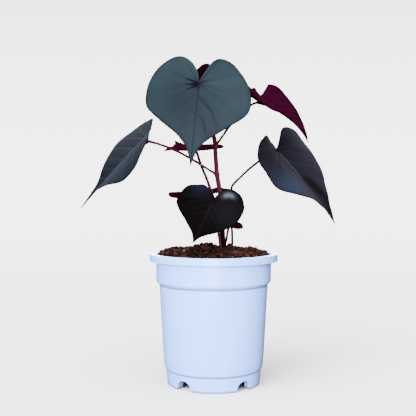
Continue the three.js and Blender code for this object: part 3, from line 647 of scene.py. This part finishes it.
def makeTube(name, path, radius, sides, nodes, woody, ribs=5, ribHeight=0.025):
    # Rings square to the path: path + radius * (cos(turn) * across + sin(turn) * over). The skin has faint
    # lengthwise ribs, radius * (1 + ribHeight * sin(ribs * turn + 1)), and the ends are closed.
    tangent = unit(np.gradient(path, axis=0))
    reference = np.eye(3)[np.argmin(np.abs(tangent).max(axis=0))]
    across = unit(np.cross(tangent, reference))
    over = np.cross(tangent, across)
    turn = turnsOf(sides)
    ribbed = radius[:, None] * (1 + ribHeight * np.sin(ribs * turn + 1))
    ring = np.cos(turn)[:, None] * across[:, None] + np.sin(turn)[:, None] * over[:, None]
    points, faces = closedRings(path[:, None] + ribbed[..., None] * ring, [path[0], path[-1]])
    dark = np.clip((woody[1] - points[:, 2]) / (woody[1] - woody[0]), 0, 1)
    makePiece(name, points, faces, stemSkin, nodes, values={"woody": dark})


def makeMainStem():
    # the path's radius goes evenly from one end's to the other's, with a swelling at each node
    path, run = smoothPath(mainStem["path"], mainStem["steps"])
    radius = np.interp(run, (0, run[-1]), mainStem["radii"])
    for stalk in stalks.values():
        away = np.linalg.norm(path - np.array(stalk["path"][0]), axis=1)
        if away.min() < mainStem["nodeReach"]:
            along = run - run[away.argmin()]
            radius = radius + mainStem["nodeSwelling"] * np.exp(-(along / mainStem["nodeLength"]) ** 2)
    makeTube("mainStem", path, radius, mainStem["sides"], ["stem_main"], mainStem["woody"])


def makeStalk(name, stalk):
    # The stalk runs up to its elbow under the junction, then thins along the underside of the midrib.
    leaf = leaves[name]
    up = bladeAxes(leaf)[2]
    elbow = np.array(leaf["junction"]) - up * stalkDetail["elbow"]
    tail = bladePoints(leaf, np.array([(along, 0.0) for along in stalkDetail["tail"]]))
    tail = tail - up * np.array(stalkDetail["tailDepth"])[:, None]
    path, run = smoothPath([*stalk["path"], elbow, *tail], stalkDetail["steps"])
    headRun = run[np.linalg.norm(path - elbow, axis=1).argmin()]
    radius = stalk.get("radius", stalkDetail["radius"])
    for key, place in (("footSwelling", 0), ("headSwelling", headRun)):
        radius = radius + stalkDetail[key] * np.exp(-((run - place) / stalkDetail["swellingLength"]) ** 2)
    beyond = np.clip((run - headRun) / (run[-1] - headRun), 0, 1)
    radius = radius * (1 - beyond) + stalkDetail["tailRadius"] * beyond
    makeTube(name + "Stalk", path, radius, stalkDetail["sides"], ["stalk_" + name], stalk["woody"])


makeMainStem()
for name, stalk in stalks.items():
    makeStalk(name, stalk)
print("stems made")


foot = {"bottomRadius": 0.0542, "topRadius": 0.0556, "height": 0.0174, "wall": 0.0018}
potFloor = {"bottom": 0.0126, "top": 0.0146}
arch = {"angles": (38.5, 141.5, 218.5, 321.5), "halfWidth": 0.0095, "height": 0.0117, "spring": 0.0028,
        "flare": 0.002, "flareHeight": 0.0004, "lip": 0.0018, "depth": 0.008,
        "past": 0.001, "bond": 0.0003}  # how far the cut goes below the foot, and its lining into the wall
drain = {"radius": 0.0045, "circle": 0.036, "sides": 40, "past": 0.002}
rimRadius = 0.075
potDetail = {  # guard is how far the points that keep the flats flat are from a corner, in corner radii
    "turns": 240, "cornerPoints": 6, "guard": 0.25, "crownPoints": 41, "flarePoints": 9,
    "sharpFrom": 40}
footInside = foot["bottomRadius"] - foot["wall"]

# Half the pot's section: radius, height and the radius that the corner is rounded with.
potSection = (
    (0, potFloor["bottom"], 0), (footInside, potFloor["bottom"], 0.0008), (footInside, 0, 0.0003),
    (foot["bottomRadius"], 0, 0.0007), (foot["topRadius"], foot["height"], 0.0002), (0.0549, 0.0179, 0.0002),
    (0.0568, 0.0186, 0.0004), (0.0578, 0.0225, 0.0015), (0.0586, 0.029, 0.002), (0.0636, 0.1146, 0.0003),
    (0.0632, 0.1155, 0.0002), (0.0643, 0.1165, 0.0003), (0.0666, 0.1186, 0.0006), (0.0673, 0.1208, 0.0009),
    (0.0675, 0.1493, 0.0008), (0.0732, 0.1493, 0.0006), (0.0732, 0.143, 0.0004), (rimRadius, 0.143, 0.0007),
    (rimRadius, 0.1513, 0.0016), (0.0676, 0.1513, 0.0012), (0.0656, 0.143, 0.002), (0.0654, 0.1214, 0.001),
    (0.0617, 0.1142, 0.002), (0.0568, 0.0294, 0.003), (0.0544, 0.0188, 0.002),
    (0.0538, potFloor["top"], 0.0012), (0, potFloor["top"], 0))


def roundedSection(corners):
    # each corner becomes a short curve between two points on its sides, with a point beside each to keep the
    # flats flat
    place = np.array([corner[:2] for corner in corners])
    size = np.array([corner[2] for corner in corners])
    points = [place[0]]
    for i in range(1, len(place) - 1):
        back, ahead = unit(place[i - 1] - place[i]), unit(place[i + 1] - place[i])
        start, end = place[i] + back * size[i], place[i] + ahead * size[i]
        curve = cornerCurve(start, place[i], end, potDetail["cornerPoints"])
        guard = size[i] * potDetail["guard"]
        points += [start + back * guard, *curve, end + ahead * guard]
    return np.array([*points, place[-1]])


def turnedGrid(section, turns):
    # a section turned about the axis: radius * (sin turn, -cos turn)
    turn = turnsOf(turns)
    radius, height = section[:, :1], section[:, 1:]
    levels = np.broadcast_to(height, (len(section), turns))
    return np.stack([radius * np.sin(turn), -radius * np.cos(turn), levels], -1)


def prismMesh(name, low, high):
    # an outline and its other end, joined and closed with flat caps
    count = len(low)
    caps = [np.arange(count)[None, ::-1], np.arange(count, 2 * count)[None]]
    return newMesh(name, np.vstack([low, high]), [gridFaces(2, count), *caps])


def radialPrism(name, outline, low, high, angle):
    # an outline (sideways, height) drawn out from one radius to another, at an angle from the front
    turn = np.radians(angle)
    outward = np.array([np.sin(turn), -np.cos(turn), 0])
    sideways = np.array([np.cos(turn), np.sin(turn), 0])
    face = outline[:, :1] * sideways + outline[:, 1:] * np.array([0, 0, 1])
    return prismMesh(name, face + outward * low, face + outward * high)


def archOutline(grow):
    # an ellipse's upper half on short curved feet that flare at the ground
    halfWidth, spring = arch["halfWidth"] + grow, arch["spring"]
    turn = np.linspace(0, np.pi, potDetail["crownPoints"])
    crown = np.stack([halfWidth * np.cos(turn), spring + (arch["height"] + grow - spring) * np.sin(turn)], -1)
    ground, corner = np.array([halfWidth + arch["flare"], 0]), np.array([halfWidth, arch["flareHeight"]])
    flare = cornerCurve(ground, corner, crown[0], potDetail["flarePoints"])[:-1]
    right = np.vstack([[[ground[0], -arch["past"]]], flare])
    return np.vstack([right, crown, (right * (-1, 1))[::-1]])


def combined(piece, tools, operation):
    # applies one Boolean for each tool and returns the resulting mesh
    helpers = [addObject(mesh.name, mesh) for mesh in tools]
    for helper in helpers:
        step = piece.modifiers.new("join", "BOOLEAN")
        step.object, step.operation, step.solver = helper, operation, "EXACT"
    bpy.context.view_layer.update()
    evaluated = piece.evaluated_get(bpy.context.evaluated_depsgraph_get())
    result = bpy.data.meshes.new_from_object(evaluated)
    piece.modifiers.clear()
    for helper in helpers:
        bpy.data.meshes.remove(helper.data)
    return result


def drainHole(name, x, y):
    # a short upright cylinder that goes through the floor
    turn = turnsOf(drain["sides"])
    ring = np.stack([x + drain["radius"] * np.cos(turn), y + drain["radius"] * np.sin(turn)], -1)
    low, high = potFloor["bottom"] - drain["past"], potFloor["top"] + drain["past"]
    return prismMesh(name, np.insert(ring, 2, low, axis=1), np.insert(ring, 2, high, axis=1))


potLook = {"body": "#a9b1ee", "shaded": "#a0a8e8", "dust": "#a8a6b4", "paintedShade": "#6e5254",
           "roughness": (0.26, 0.36), "mould": 0.0007, "paintedGrooveShade": 0.8, "paintedInsideShade": 0.75,
           "grooves": ((0.018, 0.0017), (0.1154, 0.0013), (0, 0.0032)),  # heights along which shade is painted in a line, and its fade; the line at 0 is a painted contact shadow
           "inside": (0.0535, 0.0495)}  # radii between which the painted shade inside the foot sets in


def potMaterial(name, look):
    # Injection-moulded polypropylene: pale and slightly milky, satin from the mould's fine spark texture, with
    # faint flow streaks down the wall and dust low on the foot. Painted shade darkens its grooves and the
    # inside of the foot, and a painted contact shadow runs along the foot's bottom edge.
    material, tree = newMaterial(name)
    place = addNode(tree, "TexCoord", output="Object")
    stretch = addNode(tree, "Mapping", {"Scale": (1.0, 1.0, 0.12)}, {"Vector": place})
    flow = addNode(tree, "TexNoise", {"Scale": 55.0, "Detail": 3.0}, {"Vector": stretch})
    flowRange = addNode(tree, "MapRange", {"From Min": 0.35, "From Max": 0.75}, {"Value": flow})
    height = addNode(tree, "SeparateXYZ", None, {"Vector": place}, "Z")
    low = addNode(tree, "MapRange", {"From Min": 0.02, "From Max": 0.0}, {"Value": height})
    specks = addNode(tree, "TexNoise", {"Scale": 260.0, "Detail": 6.0, "Roughness": 0.7}, {"Vector": place})
    speckRange = addNode(tree, "MapRange", {"From Min": 0.5, "From Max": 0.75, "To Max": 0.35},
                         {"Value": specks})
    dust = addNode(tree, "Math", {"operation": "MULTIPLY"}, {0: low, 1: speckRange})
    layers = [(flowRange, "shaded"), (dust, "dust")]
    # painted shade in a line along each groove, and at height 0 a painted contact shadow along the foot's
    # bottom
    for level, fade in look["grooves"]:
        above = addNode(tree, "Math", {"operation": "SUBTRACT", 1: level}, {0: height})
        away = addNode(tree, "Math", {"operation": "ABSOLUTE"}, {0: above})
        paintedShade = {"From Min": fade, "From Max": fade / 3, "To Max": look["paintedGrooveShade"]}
        layers.append((addNode(tree, "MapRange", paintedShade, {"Value": away}), "paintedShade"))
    # painted shade inside the foot, which darkens the underside and the arches' linings
    level = addNode(tree, "VectorMath", {"operation": "MULTIPLY", 1: (1, 1, 0)}, {0: place})
    radius = addNode(tree, "VectorMath", {"operation": "LENGTH"}, {0: level}, "Value")
    paintedShade = {"From Min": look["inside"][0], "From Max": look["inside"][1], "To Max": look["paintedInsideShade"]}
    layers.append((addNode(tree, "MapRange", paintedShade, {"Value": radius}), "paintedShade"))
    colour = look["body"]
    for amount, tone in layers:
        colour = addNode(tree, "Mix", {"data_type": "RGBA"}, {0: amount, 6: colour, 7: look[tone]}, 2)
    spark = addNode(tree, "TexNoise", {"Scale": 1 / look["mould"], "Detail": 2.0}, {"Vector": place})
    bump = addNode(tree, "Bump", {"Strength": 0.12, "Distance": 0.0001}, {"Height": spark})
    satin = addNode(tree, "MapRange", {"To Min": look["roughness"][0], "To Max": look["roughness"][1]},
                    {"Value": flow})
    closeMaterial(tree, {
        "IOR": 1.49, "Subsurface Weight": 0.08, "Subsurface Radius": (0.004, 0.004, 0.004),
        "Subsurface Scale": 1.0}, {"Base Color": colour, "Normal": bump, "Roughness": satin})
    return material


def makePot():
    # the turned section, with a lining added round each arch before the arches and the drain holes are cut
    section = roundedSection(potSection)
    poles = [[0, 0, section[0, 1]], [0, 0, section[-1, 1]]]
    wall = turnedGrid(section[1:-1], potDetail["turns"])
    pot = addObject("growerPot", newMesh("growerPot", *closedRings(wall, poles)))
    lining = archOutline(arch["lip"])
    lining[:, 1] = np.maximum(lining[:, 1], 0)
    linings, cuts = [], [drainHole("drainMiddle", 0, 0)]
    for i, angle in enumerate(arch["angles"]):
        depth, turn = arch["depth"], np.radians(angle)
        linings.append(radialPrism(f"lining{i}", lining, footInside - depth, footInside + arch["bond"], angle))
        cuts.append(radialPrism(f"arch{i}", archOutline(0), footInside - 2 * depth, rimRadius, angle))
        cuts.append(drainHole(f"drain{i}", drain["circle"] * np.sin(turn), -drain["circle"] * np.cos(turn)))
    pot.data = combined(pot, linings, "UNION")
    pot.data = combined(pot, cuts, "DIFFERENCE")
    pot.data.name = "growerPot"
    pot.data.polygons.foreach_set("use_smooth", [True] * len(pot.data.polygons))
    pot.data.set_sharp_from_angle(angle=np.radians(potDetail["sharpFrom"]))
    pot.data.materials.clear()
    pot.data.materials.append(potMaterial("mouldedPolypropylene", potLook))
    finishPiece(pot, ["pot"])


makePot()
print("pot made")


soil = {
    "floor": potFloor["top"] + 0.00035,  # just clear of the pot's
    "rings": 150, "turns": 264,
    # x, y, height and width of each lump
    "lumps": ((-0.008, 0.018, 0.0058, 0.0125), (-0.046, 0.006, 0.0042, 0.009), (0.047, 0.006, 0.0032, 0.008),
              (-0.024, 0.010, 0.0026, 0.014), (-0.022, -0.030, 0.0012, 0.014), (0.0192, 0.007, 0.0075, 0.004)),
    "grain": ((0.0135, 0.0011, 3), (0.0052, 0.0009, 4), (0.0021, 0.0005, 5)),  # cell, height, seed
    "calmEdge": 0.004,  # the grain dies away this far from the wall
    "tintCell": 0.003, "tintSeed": 8, "bedTint": (0.25, 0.5), "bedTintShare": 0.5,  # the bed's paler patches
    "crumbs": 3600, "crumbSize": (0.0006, 0.0031), "crumbStretch": (0.55, 1.25), "roughness": 0.22,
    "sunk": 0.25, "crumbsWithin": 0.0645, "wallRoom": 0.0655, "stemRoom": 0.003, "crumbReach": 1.3,
    "perlite": 0.02, "perliteBelow": 0.0022,  # the share of crumbs that are perlite, and their largest size
    "seed": 21}

# the heap's surface, as radius and height, and the side of the bed down the pot's wall to its underside
soilTop = np.array([(0, 0.1556), (0.012, 0.1554), (0.022, 0.155), (0.032, 0.1544), (0.042, 0.1538),
                    (0.052, 0.1531), (0.0595, 0.1521), (0.064, 0.1506), (0.0662, 0.149)])
soilSide = np.array([(0.0652, 0.143), (0.065, 0.1215), (0.0613, 0.1143), (0.0564, 0.0294), (0.054, 0.0189),
                     (0.0534, soil["floor"])])


def bedHeight(x, y):
    # the heap's section turned, with round lumps height * exp(-(distance / width) ** 2) and three sizes of
    # noise that die away at the wall
    radius = np.hypot(x, y)
    height = np.interp(radius, soilTop[:, 0], soilTop[:, 1])
    for lumpX, lumpY, rise, width in soil["lumps"]:
        height = height + rise * np.exp(-(np.hypot(x - lumpX, y - lumpY) / width) ** 2)
    place = np.stack([x, y], -1)
    rough = sum(rise * latticeNoise(place, cell, seed) for cell, rise, seed in soil["grain"])
    return height + rough * np.clip((soilTop[-1, 0] - radius) / soil["calmEdge"], 0, 1)


soilLook = {"deep": "#1b0b0a", "body": "#48241d", "bark": "#8f5743", "perlite": "#e6ddd2"}


def soilMaterial(name):
    # Peat and bark fines, damp: dark red-brown, quite matt, each crumb a little different, some as pale as dry
    # bark and a few of them white grains of perlite.
    material, tree = newMaterial(name)
    place = addNode(tree, "TexCoord", output="Object")
    tint, pale = (addNode(tree, "Attribute", {"attribute_name": key}, output="Fac")
                  for key in ("tint", "perlite"))
    patches = addNode(tree, "TexNoise", {"Scale": 300.0, "Detail": 5.0, "Roughness": 0.65}, {"Vector": place})
    spread = addNode(tree, "MapRange", {"From Min": 0.35, "From Max": 0.68}, {"Value": patches})
    colour = soilLook["deep"]
    for amount, tone in ((spread, "body"), (tint, "bark"), (pale, "perlite")):
        colour = addNode(tree, "Mix", {"data_type": "RGBA"}, {0: amount, 6: colour, 7: soilLook[tone]}, 2)
    fine = addNode(tree, "TexNoise", {"Scale": 1100.0, "Detail": 4.0, "Roughness": 0.7}, {"Vector": place})
    bump = addNode(tree, "Bump", {"Strength": 0.9, "Distance": 0.0006}, {"Height": fine})
    closeMaterial(tree, {"Roughness": 0.85, "Specular IOR Level": 0.3}, {"Base Color": colour, "Normal": bump})
    return material


pottingMix = soilMaterial("dampPottingMix")


def makeBed():
    # the heap's surface on rings, then the side rows down to the underside
    turn = turnsOf(soil["turns"])
    outward = np.linspace(0, 1, soil["rings"] + 1)[1:] * soilTop[-1, 0]
    x, y = outward[:, None] * np.sin(turn), -outward[:, None] * np.cos(turn)
    top = np.stack([x, y, bedHeight(x, y)], -1)
    poles = [[0, 0, bedHeight(np.zeros(1), np.zeros(1))[0]], [0, 0, soil["floor"]]]
    points, faces = closedRings(np.concatenate([top, turnedGrid(soilSide, soil["turns"])]), poles, flip=True)
    patches = latticeNoise(points[:, :2], soil["tintCell"], soil["tintSeed"])
    tint = np.clip(soil["bedTint"][0] + soil["bedTint"][1] * patches, 0, 1) * soil["bedTintShare"]
    makePiece("soilBed", points, faces, pottingMix, ["soil"],
              values={"tint": tint, "perlite": np.zeros(len(points))})


def crumbShape():
    # an octahedron with each face cut into four, its points then pushed out to a sphere
    points = np.array([(1, 0, 0), (0, 1, 0), (-1, 0, 0), (0, -1, 0), (0, 0, 1), (0, 0, -1)], float)
    faces = np.array([(0, 1, 4), (1, 2, 4), (2, 3, 4), (3, 0, 4), (1, 0, 5), (2, 1, 5), (3, 2, 5), (0, 3, 5)])
    sides = np.vstack([faces[:, [0, 1]], faces[:, [1, 2]], faces[:, [2, 0]]])
    edges = np.unique(np.sort(sides, axis=1), axis=0)
    middles = unit(points[edges].mean(axis=1))
    key = {tuple(edge): 6 + i for i, edge in enumerate(edges.tolist())}
    finer = []
    for a, b, c in faces.tolist():
        ab, bc, ca = (key[tuple(sorted(pair))] for pair in ((a, b), (b, c), (c, a)))
        finer += [(a, ab, ca), (ab, b, bc), (ca, bc, c), (ab, bc, ca)]
    return np.vstack([points, middles]), np.array(finer)


def makeCrumbs():
    # each crumb is the small ball stretched along three axes, roughened, turned and set into the bed
    random = np.random.default_rng(soil["seed"])
    ball, ballFaces = crumbShape()
    count = soil["crumbs"]
    radius = soil["crumbsWithin"] * np.sqrt(random.uniform(0, 1, count))
    turn = random.uniform(0, 2 * np.pi, count)
    x, y = radius * np.sin(turn), -radius * np.cos(turn)
    small, large = soil["crumbSize"]
    size = small + (large - small) * random.uniform(0, 1, count) ** 3
    clear = radius + size < soil["wallRoom"]
    for stem in (mainStem, stalks["right"], stalks["mid"]):
        away = np.hypot(x - stem["path"][1][0], y - stem["path"][1][1])
        clear &= away > size * soil["crumbReach"] + soil["stemRoom"]
    x, y, size = x[clear], y[clear], size[clear]
    count = len(x)
    stretch = random.uniform(*soil["crumbStretch"], (count, 1, 3))
    rough = 1 + random.uniform(-soil["roughness"], soil["roughness"], (count, len(ball), 1))
    turns, _ = np.linalg.qr(random.normal(size=(count, 3, 3)))
    turns *= np.sign(np.linalg.det(turns))[:, None, None]
    shape = (ball * stretch * rough) @ turns * size[:, None, None]
    centre = np.stack([x, y, bedHeight(x, y) + size * soil["sunk"]], -1)
    points = (centre[:, None] + shape).reshape(-1, 3)
    faces = (ballFaces + np.arange(count)[:, None, None] * len(ball)).reshape(-1, 3)
    tint = random.uniform(0, 1, count) ** 3
    pale = (random.uniform(0, 1, count) < soil["perlite"]) * (size < soil["perliteBelow"])
    values = {"tint": np.repeat(tint, len(ball)), "perlite": np.repeat(pale.astype(float), len(ball))}
    makePiece("soilCrumbs", points, [faces], pottingMix, ["soil"], smooth=False, values=values)


makeBed()
makeCrumbs()
print("soil made")


studio = {
    "paper": "#949494", "paperFibre": "#909090",
    "room": 0.78, "below": 0.14,  # brightness of the room's upper and lower half
    "roomSeen": 4.1,  # its brightness as the camera sees it
    "horizon": (-0.2, 0.3),  # between these heights of a direction, one half turns into the other
    "sweepFrom": 1.0, "sweepRadius": 1.6, "sweepPoints": 25, "halfWidth": 5, "front": -3, "height": 5,
    "camera": {"lens": 60, "sensor": 36, "place": (-0.0066, -0.815, 0.2186), "down": 0.99},
    # soft lamps: degrees to the left of the camera, degrees up, angle across, strength, colour and what they
    # light, or None for all
    "lamps": {
        "windowLamp": (-4, 52, 50, 1.2, "#ffffff", None),
        "floorLamp": (38, 37, 50, 24.5, "#ffffff", ("studioFloor",)),
        "skyLamp": (10, 65, 90, 32.0, "#ffffff", ("studioFloor",)),
        "potLamp": (15, 12, 16, 22.0, "#7cd4ff", ("growerPot",)),
        "stripLamp": (0, 0.5, 6, 5.5, "#e4f2ff", ("growerPot",)),
        "rimLamp": (8, 50, 40, 3.0, "#d6ecff", ("growerPot",)),
        "backLamp": (180, 20, 40, 9.0, "#b6ddff", ("growerPot",))}}


def makeSweep():
    # a flat sheet that curves up behind: a quarter circle, then straight up
    turn = np.linspace(0, np.pi / 2, studio["sweepPoints"])
    start, bend = studio["sweepFrom"], studio["sweepRadius"]
    curve = np.stack([start + bend * np.sin(turn), bend * (1 - np.cos(turn))], -1)
    profile = np.vstack([[[studio["front"], 0], [0, 0]], curve, [[start + bend, studio["height"]]]])
    across = np.array([-studio["halfWidth"], studio["halfWidth"]])
    along, height = (np.repeat(profile[:, k:k + 1], 2, axis=1) for k in (0, 1))
    grid = np.stack([np.broadcast_to(across, along.shape), along, height], -1)
    sweep = addObject("studioFloor", newMesh("studioFloor", grid.reshape(-1, 3),
                                             [gridFaces(len(profile), 2, closed=False)]))
    sweep.data.materials.append(paperMaterial("seamlessPaper"))
    sweep.visible_diffuse = sweep.visible_glossy = False  # it isn't mirrored in the plant and tints nothing


def paperMaterial(name):
    # Seamless background paper: thick, matt and near white, with short fibres that barely show.
    material, tree = newMaterial(name)
    place = addNode(tree, "TexCoord", output="Object")
    fibres = addNode(tree, "TexNoise", {"Scale": 400.0, "Detail": 2.0}, {"Vector": place})
    colour = addNode(tree, "Mix", {"data_type": "RGBA"},
                     {0: fibres, 6: studio["paper"], 7: studio["paperFibre"]}, 2)
    closeMaterial(tree, {"Roughness": 0.9, "Specular IOR Level": 0.1}, {"Base Color": colour})
    return material


def addLamp(name, left, up, across, strength, colour, lit):
    # a soft lamp far off, which lights only the pieces named, or all of them
    lamp = bpy.data.lights.new(name, "SUN")
    lamp.angle, lamp.energy, lamp.color = np.radians(across), strength, linear(colour)[:3]
    holder = addObject(name, lamp)
    holder.rotation_euler = (np.radians(90 - up), 0, -np.radians(left))
    if lit:
        holder.light_linking.receiver_collection = bpy.data.collections.new(name + "Lit")
        for piece in lit:
            holder.light_linking.receiver_collection.objects.link(bpy.data.objects[piece])


def makeRoom():
    # a plain pale room, darker below: it lights the plant softly, and the camera sees it as bright as the paper
    world = bpy.data.worlds.new("paleRoom")
    world.use_nodes = True
    tree = world.node_tree
    direction = addNode(tree, "TexCoord", output="Generated")
    height = addNode(tree, "SeparateXYZ", None, {"Vector": direction}, "Z")
    halves = {"From Min": studio["horizon"][0], "From Max": studio["horizon"][1],
              "To Min": studio["below"], "To Max": studio["room"]}
    light = addNode(tree, "MapRange", halves, {"Value": height})
    seen = addNode(tree, "LightPath", output="Is Camera Ray")
    strength = addNode(tree, "MapRange", {"To Max": studio["roomSeen"]}, {"Value": seen, "To Min": light})
    background = tree.nodes["Background"]
    background.inputs["Color"].default_value = linear("#ffffff")
    tree.links.new(strength, background.inputs["Strength"])
    bpy.context.scene.world = world


def placeCamera(view):
    lens = bpy.data.cameras.new("camera")
    lens.lens, lens.sensor_width = view["lens"], view["sensor"]
    camera = addObject("camera", lens)
    camera.location = view["place"]
    camera.rotation_euler = (np.radians(90 - view["down"]), 0, 0)
    bpy.context.scene.camera = camera


makeSweep()
for name, lamp in studio["lamps"].items():
    addLamp(name, *lamp)
makeRoom()
placeCamera(studio["camera"])
print("studio set")
